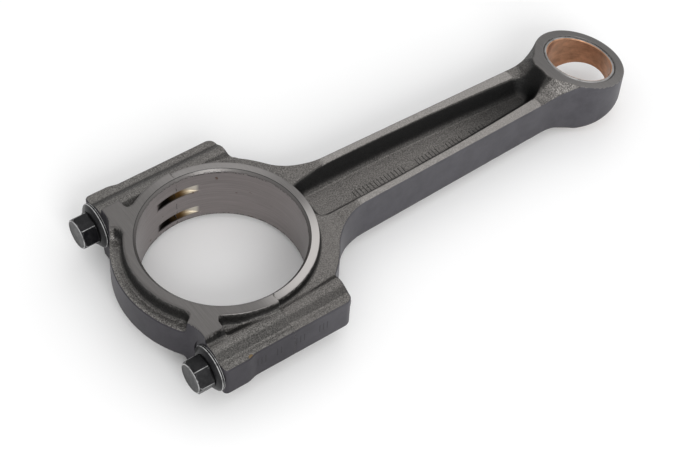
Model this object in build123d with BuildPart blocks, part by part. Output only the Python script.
from build123d import *
import math
import os

# Connecting rod with a fracture-split big end, two flanged cap bolts and a bimetal small-end bush.
# Frame: origin on the crankpin bore axis at mid-width, +X towards the small end, +Z along the bore axis.
# All sizes are in millimetres.

# Driving dimensions
centre_distance = 154.9        # crankpin axis to piston-pin axis
bore_radius = 28.25            # big-end housing bore, 56.5 mm diameter
bore_chamfer = 0.9             # lead-in at both ends of the bore
big_end_width = 23.7           # over the two thrust faces
pin_radius = 11.975            # finished bush bore, for a 23.95 mm pin class
lining_wall = 0.4              # bronze layer of the bush strip
backing_wall = 0.85            # steel layer of the bush strip
eye_chamfer = 0.6              # lead-in of the small-end eye, both sides
bush_recess = 0.25             # bush stands back from the eye's faces by this much

# Thrust rings, flanks and crown of the big end
ring_wall = 3.55               # thrust ring beyond the bore, rod side
cap_ring_wall = 4.25           # thrust ring beyond the bore, cap side
flank_wall = 10.65             # forged wall beyond the bore, rod side
crown_wall = 10.75             # forged wall beyond the bore, cap side
crown_shift = 2.0              # crown arc is struck from this far towards the small end
skirt_half = 6.3               # half-height of the forged wall round the big end
cone_half = 8.5                # half-height where the forged skin meets the thrust ring
parting_half = 5.7             # half-height of the forging between its shoulders, at the parting face
skirt_setback = 9.7            # flank's edge back to where the side profile starts to rise

# Bolt shoulders
bolt_wall = 2.25               # steel between the housing bore and the bolt's thread
shoulder_reach = 7.1           # from a bolt axis out to the flat side wall
shoulder_length = 23.2         # parting face to the shoulder's end, rod side
lip_half = 6.0                 # half-height at the side wall
deck_wall = 3.9                # steel over the bolt's thread, top and bottom
deck_inner = 1.8               # flat deck, from the bolt axis towards the bore
deck_outer = 3.0               # flat deck, from the bolt axis towards the side wall
deck_slope = 1.8               # plan width of the slopes on both sides of the deck
deck_fall = 0.4                # loss of half-height across the deck, outwards
gutter_half = 7.0              # half-height of the gutter between thrust ring and deck
gutter_rise = 0.2              # gain of half-height from the thrust ring to the deck's slope
pad_setback = 3.5              # ground pad stops this far short of the bolt axis
pad_length = 7.1               # ground pad, measured from the bolt seat
pad_cove = 3.0                 # cove between pad and thrust ring
lug_swell = 0.9                # outward swell of the side wall at the bolt head
swell_length = 8.5             # full swell, measured from the bolt seat
swell_run = 4.5                # run-out of the swell into the side wall
swell_blend = 5.0              # plan radius at both ends of that run-out
lug_corner = 1.6               # plan corner of the lug at the bolt seat
relief_round = 3.0             # round end of the crown's relief
relief_angle = 34.5            # from the rod's centre line to the centre of that round end
shoulder_corner = 3.0          # plan corner at the shoulder's end
shoulder_cove = 3.5            # plan cove between shoulder and flank

# Shank
shank_half_width = 12.25       # at the big end of the beam
shank_taper = 0.0234           # loss of half-width per mm of length
shank_half = 8.4               # half-height of the rails at the big end
rail_taper = 0.0092            # loss of half-height per mm of length
fillet_run = 14.1              # flank's edge to where its fillet has run out
rail_setback = 8.0             # rails reach full height this far before the fillet has run out
flank_fillet = 22.0            # plan fillet, beam to big end
neck_fillet = 25.0             # plan fillet, beam to eye
web_thickness = 4.0            # between the two channel floors
rail_width = 2.75              # top of a rail at the big end of the beam
floor_narrowing = 3.2          # loss of that half-width by the small end
channel_draft = 30.0           # wall angle of the channel, in degrees
channel_gap = 3.9              # thrust ring to the start of the channel floor
channel_end_gap = 8.25         # end of the channel floor to the eye's outer wall
channel_corner = 1.5           # plan corners of the channel floor
channel_bow = 0.3              # share of the narrowing that has happened by the channel's middle
bow_shift = 8.0                # the bow's middle point lies this far beyond the channel's own middle

# Small end
eye_wall = 3.62                # steel round the bush
pin_half_width = 8.17          # half-width of the tapered faces at the pin axis
face_slope = 0.267             # half-width lost per mm towards the tip
boss_feet = (10.0, 20.5, 32.0) # half-widths of the boss at mid-height: start, crest and eye
boss_crests = (4.5, 3.4, 15.5) # half-widths of its top at the same places
boss_blend = 7.0               # the last of those places, to the piston-pin axis
boss_run = 6.0                 # gentle start of the rise, along the beam
boss_lift = 0.5                # height gained over that start
wall_rise = 4.0                # forged wall above the tapered face at the pin axis, before grinding
boss_gap = 9.55                # start of the rise from the rails, to the eye's outer wall
crest_gap = 2.15               # tallest point of the boss, to the eye's outer wall

# Cap bolts: M9 x 1 with a flanged hexagon head
bolt_radius = 4.5              # thread major radius
waist_relief = 0.5             # radial, reduced shank below the thread's major radius
hex_flats = 10.75              # across the flats, for an 11 mm spanner
flange_overhang = 1.9          # flange beyond the hexagon's corners
flange_rim = 1.1               # thickness of the flange's rim
neck_groove = 0.375            # radial depth below the hexagon's flats, under the hexagon
head_height = 8.0              # seat to the end of the head
hex_height = 5.4               # length of the hexagon
tip_stand = 1.5                # bolt tip beyond the shoulder's end
thread_length = 23.0           # tip to the last thread
tip_chamfer = 0.8
hex_bevel = 1.05               # corners of the hexagon taken off at its end, radially
hex_bevel_length = 0.9         # and along the bolt
flange_cone = 1.1              # height of the flange's cone above its rim
flange_break = 0.3             # edge break of the flange's rim
waist_fillet = 0.5             # under the head, and from the waist to the thread
near_turn = 52.0               # turn of the hexagon about the bolt axis, -Y bolt, in degrees
far_turn = 66.0                # the same for the +Y bolt

# Fits
tapped_clearance = 0.08        # radial, bolt major diameter in the tapped hole
cap_clearance = 0.25           # radial, bolt in the cap's through hole
spotface_clearance = 1.1       # radial, bolt flange in its spot face

# Locating notches for the bearing shells' tangs
notch_depth = 1.6
notch_chord = 17.5
notch_width = 3.4
upper_notch = 3.9              # height of the upper notch's mid-plane
lower_notch = -7.1             # height of the lower notch's mid-plane

# Derived values
half_width = big_end_width / 2
bolt_y = bore_radius + bolt_wall + bolt_radius
wall_y = bolt_y + shoulder_reach
swell_y = wall_y + lug_swell
ring_radius = bore_radius + ring_wall
cap_ring_radius = bore_radius + cap_ring_wall
flank_radius = bore_radius + flank_wall
crown_radius = bore_radius + crown_wall
bush_radius = pin_radius + lining_wall + backing_wall
lining_radius = pin_radius + lining_wall
eye_radius = bush_radius + eye_wall
eye_start = centre_distance - eye_radius
boss_start = eye_start - boss_gap
crest_x = eye_start - crest_gap
boss_half = pin_half_width + face_slope * (eye_radius + crest_gap)
shank_start = flank_radius + fillet_run
channel_start = ring_radius + channel_gap
channel_end = eye_start - channel_end_gap
channel_wall = (shank_half - web_thickness / 2) * math.tan(math.radians(channel_draft))
floor_half_width = shank_half_width - rail_width - channel_wall
reach = centre_distance + eye_radius + 5.0
tall = boss_half + 2.0
tapped_radius = bolt_radius + tapped_clearance
cap_hole_radius = bolt_radius + cap_clearance
waist_radius = bolt_radius - waist_relief
neck_radius = hex_flats / 2 - neck_groove
hex_corner = hex_flats / math.sqrt(3)
flange_radius = hex_corner + flange_overhang
spotface_radius = flange_radius + spotface_clearance
deck_half = bolt_radius + deck_wall
# the bolt seat lies where the spot face's edge meets the crown
seat_depth = math.sqrt(crown_radius**2 - (bolt_y - spotface_radius) ** 2) - crown_shift
pad_y = bolt_y - pad_setback
bolt_tip = shoulder_length + tip_stand

os.makedirs("parts", exist_ok=True)


def rail_half_width(x):
    """Half-width of the beam at a distance x from the crankpin axis."""
    return shank_half_width - shank_taper * (x - shank_start)


def rail_half_height(x):
    """Half-height of the beam's rails at a distance x from the crankpin axis."""
    return shank_half - rail_taper * (x - shank_start)


def face_half_height(x, inset=0.0):
    """Half-width of the tapered small end at x, less an inset."""
    return pin_half_width - inset + face_slope * (centre_distance - x)


def mirrored(points):
    """A closed outline from its upper half, reflected in its first axis."""
    return points + [(u, -v) for u, v in reversed(points)]


def shoulder_section():
    """Section of the bolt shoulder at +Y: a deck over the bolt, then a step down to a narrow lip."""
    with BuildSketch(Plane.YZ) as section:
        with BuildLine():
            upper = [
                ((bore_radius + ring_radius) / 2, gutter_half),
                (bolt_y - deck_inner - deck_slope, gutter_half + gutter_rise),
                (bolt_y - deck_inner, deck_half),
                (bolt_y + deck_outer, deck_half - deck_fall),
                (bolt_y + deck_outer + deck_slope, lip_half + deck_fall),
                (swell_y + lug_swell, lip_half),
            ]
            Polyline(*mirrored(upper), close=True)
        make_face()
    return section.sketch


def rod_plan():
    """Plan outline of the rod: shoulders, flank, beam and eye, with their plan fillets."""
    with BuildSketch() as plan:
        Circle(flank_radius)
        with BuildLine():
            beam = [(0, rail_half_width(0)), (centre_distance, rail_half_width(centre_distance))]
            Polyline(*mirrored(beam), close=True)
        make_face()
        roots = plan.vertices().filter_by(lambda v: ring_radius < v.X < centre_distance - 1)
        fillet(roots, flank_fillet)
        with Locations((centre_distance, 0)):
            Circle(eye_radius)
        necks = plan.vertices().filter_by(lambda v: boss_start < v.X < centre_distance - 2)
        fillet(necks, neck_fillet)
        with Locations((shoulder_length / 2, 0)):
            Rectangle(shoulder_length, 2 * wall_y)
        ends = plan.vertices().filter_by(lambda v: abs(v.X - shoulder_length) < 0.01)
        fillet(ends.filter_by(lambda v: abs(v.Y) < wall_y - 0.01), shoulder_cove)
        ends = plan.vertices().filter_by(lambda v: abs(v.X - shoulder_length) < 0.01)
        fillet(ends.filter_by(lambda v: abs(v.Y) > wall_y - 0.01), shoulder_corner)
        with Locations((-reach / 2, 0)):
            Rectangle(reach, reach, mode=Mode.SUBTRACT)
    return plan.sketch


def cap_plan():
    """Plan outline of the cap: round crown and two bolt lugs whose walls swell at the heads."""
    with BuildSketch() as plan:
        with Locations((crown_shift, 0)):
            Circle(crown_radius)
        for side in (1, -1):
            with BuildLine():
                Polyline(
                    (0, 0),
                    (-seat_depth, 0),
                    (-seat_depth, side * swell_y),
                    (-seat_depth + swell_length, side * swell_y),
                    (-seat_depth + swell_length + swell_run, side * wall_y),
                    (0, side * wall_y),
                    close=True,
                )
            make_face()
        swell = plan.vertices().filter_by(lambda v: -seat_depth + 1 < v.X < -1 and abs(v.Y) > bolt_y)
        fillet(swell, swell_blend)
        tips = plan.vertices().filter_by(lambda v: abs(v.X + seat_depth) < 0.01 and abs(v.Y) > bolt_y)
        fillet(tips, lug_corner)
        with Locations((reach / 2, 0)):
            Rectangle(reach, reach, mode=Mode.SUBTRACT)
    return plan.sketch


def pad_plan():
    """Plan of the ground faces of the cap: thrust ring, two bolt pads and the coves between them."""
    corner_x = pad_length - seat_depth
    with BuildSketch() as pad:
        Circle(cap_ring_radius)
        with BuildLine():
            Polyline(*mirrored([(-crown_radius, pad_y), (corner_x, pad_y)]), close=True)
        make_face()
        coves = pad.vertices().filter_by(lambda v: abs(v.X - corner_x) < 0.01 and abs(v.Y) < pad_y - 0.1)
        fillet(coves, pad_cove)
        with Locations((reach / 2, 0)):
            Rectangle(reach, reach, mode=Mode.SUBTRACT)
        # relief of the crown, with round ends
        middle = cap_ring_radius + relief_round
        half_turn = math.radians(relief_angle)
        with BuildLine():
            inner = CenterArc((0, 0), cap_ring_radius, 180 - relief_angle, 2 * relief_angle)
            outer = CenterArc((0, 0), reach / 2, 180 - relief_angle, 2 * relief_angle)
            Line(inner @ 0, outer @ 0)
            Line(inner @ 1, outer @ 1)
        make_face(mode=Mode.SUBTRACT)
        for side in (1, -1):
            with Locations((-middle * math.cos(half_turn), side * middle * math.sin(half_turn))):
                Circle(relief_round, mode=Mode.SUBTRACT)
    return pad.sketch


def skin_cone():
    """Forged skin round the bore: a shallow cone from the thrust ring out to the flank."""
    with BuildSketch(Plane.XZ) as section:
        with BuildLine():
            upper = [
                (0, cone_half),
                (ring_radius, cone_half),
                (flank_radius, skirt_half),
                (flank_radius + 6.0, skirt_half),
            ]
            Polyline(*mirrored(upper), close=True)
        make_face()
    return section.sketch


def channel_floor():
    """Plan of a channel's floor: long bowed flanks that close in a round end."""
    tip_y = floor_half_width - floor_narrowing
    tip_x = channel_end - tip_y
    middle_x = (channel_start + tip_x) / 2 + bow_shift
    middle_y = floor_half_width - channel_bow * floor_narrowing
    with BuildSketch() as floor:
        with BuildLine():
            start_y = floor_half_width
            upper = ThreePointArc((channel_start, start_y), (middle_x, middle_y), (tip_x, tip_y))
            lower = ThreePointArc((channel_start, -start_y), (middle_x, -middle_y), (tip_x, -tip_y))
            ThreePointArc(upper @ 1, (channel_end, 0), lower @ 1)
            Line(upper @ 0, lower @ 0)
        make_face()
        corners = floor.vertices().filter_by(lambda v: v.X < channel_start + 0.1)
        fillet(corners, channel_corner)
    return floor.sketch


def taper_wedge(inset):
    """Section of all that lies outside the tapered faces of the small end, on both sides."""
    near_x = boss_start - 2.0
    with BuildSketch(Plane.XZ) as wedge:
        for side in (1, -1):
            with BuildLine():
                Polyline(
                    (near_x, side * face_half_height(near_x, inset)),
                    (reach, side * face_half_height(reach, inset)),
                    (reach, side * 2 * tall),
                    (near_x, side * 2 * tall),
                    close=True,
                )
            make_face()
    return wedge.sketch


def notch_cutter():
    """Plan of the tang notch: a cutter disc that leaves the stated chord and depth in the bore."""
    deepest = bore_radius + notch_depth
    half_chord = notch_chord / 2
    edge = math.sqrt(bore_radius**2 - half_chord**2)
    centre = (deepest**2 - half_chord**2 - edge**2) / (2 * (deepest - edge))
    with BuildSketch() as disc:
        with Locations((0, centre)):
            Circle(deepest - centre)
    return disc.sketch


# Plans and sections shared by the solids below
rod_outline = rod_plan()
cap_outline = cap_plan()
ground_faces = pad_plan()
shoulder_profile = shoulder_section()
shoulder_profiles = [shoulder_profile, mirror(shoulder_profile, about=Plane.XZ)]
skin_profile = skin_cone()
floor_outline = channel_floor()
eye_wedges = taper_wedge(0.0)
bush_wedges = taper_wedge(bush_recess)
notch_disc = notch_cutter()

# Rod forging, machined: shoulders, flank, I-section beam and tapered small end in one piece
with BuildPart() as rod:
    with BuildSketch(Plane.XZ):
        with BuildLine():
            rails = [
                (0, parting_half),
                (flank_radius - skirt_setback, skirt_half),
                (shank_start - rail_setback, rail_half_height(shank_start - rail_setback)),
                (boss_start, rail_half_height(boss_start)),
                (boss_start + boss_run, rail_half_height(boss_start) + boss_lift),
                (centre_distance, pin_half_width + wall_rise),
                (reach, pin_half_width + wall_rise),
            ]
            Polyline(*mirrored(rails), close=True)
        make_face()
    extrude(amount=wall_y + 5.0, both=True)
    revolve(skin_profile, axis=Axis.Z)
    for profile in shoulder_profiles:
        extrude(profile, amount=shoulder_length + 5.0, dir=(1, 0, 0))
    with BuildSketch():
        with Locations((centre_distance, 0)):
            Circle(eye_radius)
    extrude(amount=boss_half, both=True)
    # boss between the beam and the eye: a ridge that climbs from the rails to its tallest point
    boss_places = (boss_start, crest_x, centre_distance - boss_blend)
    boss_heights = (rail_half_height(boss_start), boss_half, boss_half)
    for x, foot, crest, height in zip(boss_places, boss_feet, boss_crests, boss_heights):
        top = [(-crest, height), (crest, height)]
        bottom = [(crest, -height), (-crest, -height)]
        with BuildSketch(Plane.YZ.offset(x)):
            with BuildLine():
                Polyline((-foot, 0), *top, (foot, 0), *bottom, close=True)
            make_face()
    loft(ruled=True)
    extrude(rod_outline, amount=tall, both=True, mode=Mode.INTERSECT)
    # tapered faces of the small end
    extrude(eye_wedges, amount=2 * eye_radius, both=True, mode=Mode.SUBTRACT)
    # channels that leave the web of the I-section
    for side in (1, -1):
        floor = floor_outline.moved(Location((0, 0, side * web_thickness / 2)))
        extrude(floor, amount=tall, dir=(0, 0, side), taper=-channel_draft, mode=Mode.SUBTRACT)
    # thrust ring, then housing bore, tang notches, eye and tapped bolt holes
    with BuildSketch() as half_ring:
        Circle(ring_radius)
        with Locations((-reach / 2, 0)):
            Rectangle(reach, reach, mode=Mode.SUBTRACT)
    extrude(amount=half_width, both=True)
    with BuildSketch():
        Circle(bore_radius)
    extrude(amount=tall, both=True, mode=Mode.SUBTRACT)
    rims = rod.edges().filter_by(GeomType.CIRCLE).filter_by(
        lambda e: abs(e.radius - bore_radius) < 0.01 and abs(abs(e.center().Z) - half_width) < 0.01
    )
    chamfer(rims, bore_chamfer)
    for height in (upper_notch, lower_notch):
        slot = notch_disc.moved(Location((0, 0, height)))
        extrude(slot, amount=notch_width / 2, both=True, mode=Mode.SUBTRACT)
    with BuildSketch():
        with Locations((centre_distance, 0)):
            Circle(bush_radius)
    extrude(amount=tall, both=True, mode=Mode.SUBTRACT)
    pin_axis = Vector(centre_distance, 0, 0)
    rims = rod.edges().filter_by(GeomType.ELLIPSE).filter_by(
        lambda e: abs((e.position_at(0) - pin_axis).cross(Vector(0, 0, 1)).length - bush_radius) < 0.01
    )
    chamfer(rims, eye_chamfer)
    for side in (1, -1):
        with Locations(Plane((0, side * bolt_y, 0), x_dir=(0, 1, 0), z_dir=(1, 0, 0))):
            Cylinder(tapped_radius, 4 * shoulder_length, mode=Mode.SUBTRACT)

# Bearing cap, split from the rod across the bore: crown, two lugs and their bolt seats
with BuildPart() as cap:
    extrude(cap_outline, amount=skirt_half, both=True)
    for profile in shoulder_profiles:
        extrude(profile, amount=seat_depth, dir=(-1, 0, 0))
    extrude(ground_faces, amount=half_width, both=True)
    extrude(cap_outline, amount=tall, both=True, mode=Mode.INTERSECT)
    with BuildSketch():
        Circle(bore_radius)
    extrude(amount=tall, both=True, mode=Mode.SUBTRACT)
    rims = cap.edges().filter_by(GeomType.CIRCLE).filter_by(
        lambda e: abs(e.radius - bore_radius) < 0.01 and abs(abs(e.center().Z) - half_width) < 0.01
    )
    chamfer(rims, bore_chamfer)
    for height in (upper_notch, lower_notch):
        slot = notch_disc.moved(Location((0, 0, height)))
        extrude(slot, amount=notch_width / 2, both=True, mode=Mode.SUBTRACT)
    for side in (1, -1):
        with Locations(Plane((0, side * bolt_y, 0), x_dir=(0, 1, 0), z_dir=(1, 0, 0))):
            Cylinder(cap_hole_radius, 4 * seat_depth, mode=Mode.SUBTRACT)
        with Locations(Plane((-seat_depth, side * bolt_y, 0), x_dir=(0, 1, 0), z_dir=(-1, 0, 0))):
            Cylinder(
                spotface_radius,
                seat_depth,
                align=(Align.CENTER, Align.CENTER, Align.MIN),
                mode=Mode.SUBTRACT,
            )

# Bush in the eye, rolled from bimetal strip: steel backing and bronze lining
bush_layers = {}
for name, outer, inner in (
    ("bush_backing", bush_radius, lining_radius),
    ("bush_lining", lining_radius, pin_radius),
):
    with BuildPart() as layer:
        with BuildSketch():
            with Locations((centre_distance, 0)):
                Circle(outer)
                Circle(inner, mode=Mode.SUBTRACT)
        extrude(amount=tall, both=True)
        extrude(bush_wedges, amount=2 * eye_radius, both=True, mode=Mode.SUBTRACT)
    bush_layers[name] = layer.part

# Cap bolts, turned about the X axis: flange, hexagon head, reduced shank and thread to major diameter
seat = -seat_depth
head_end = seat - head_height
neck_start = head_end + hex_height
cap_bolts = {}
for name, side, turn in (("cap_bolt_near", -1, near_turn), ("cap_bolt_far", 1, far_turn)):
    with BuildPart() as bolt:
        with BuildSketch(Plane((head_end, 0, 0), x_dir=(0, 1, 0), z_dir=(1, 0, 0))):
            RegularPolygon(hex_flats / 2, 6, major_radius=False, rotation=turn)
        extrude(amount=hex_height)
        # the turned envelope takes the hexagon's corners off at its end
        with BuildSketch():
            with BuildLine():
                Polyline(
                    (head_end, 0),
                    (head_end, hex_corner - hex_bevel),
                    (head_end + hex_bevel_length, hex_corner),
                    (neck_start, hex_corner),
                    (neck_start, 0),
                    close=True,
                )
            make_face()
        revolve(axis=Axis.X, mode=Mode.INTERSECT)
        with BuildSketch():
            with BuildLine():
                Polyline(
                    (neck_start - flange_cone, 0),
                    (neck_start - flange_cone, neck_radius),
                    (seat - flange_rim - flange_cone, neck_radius),
                    (seat - flange_rim - flange_cone, hex_corner),
                    (seat - flange_rim, flange_radius - flange_break),
                    (seat - flange_rim + flange_break, flange_radius),
                    (seat, flange_radius),
                    (seat, waist_radius + waist_fillet),
                    (seat + waist_fillet, waist_radius),
                    (bolt_tip - thread_length - waist_fillet, waist_radius),
                    (bolt_tip - thread_length, bolt_radius),
                    (bolt_tip - tip_chamfer, bolt_radius),
                    (bolt_tip, bolt_radius - tip_chamfer),
                    (bolt_tip, 0),
                    close=True,
                )
            make_face()
        revolve(axis=Axis.X)
    cap_bolts[name] = bolt.part.moved(Location((0, side * bolt_y, 0)))

rod.part.label = "rod"
export_step(rod.part, "parts/rod.step")
cap.part.label = "cap"
export_step(cap.part, "parts/cap.step")
for name, piece in {**bush_layers, **cap_bolts}.items():
    piece.label = name
    export_step(piece, f"parts/{name}.step")
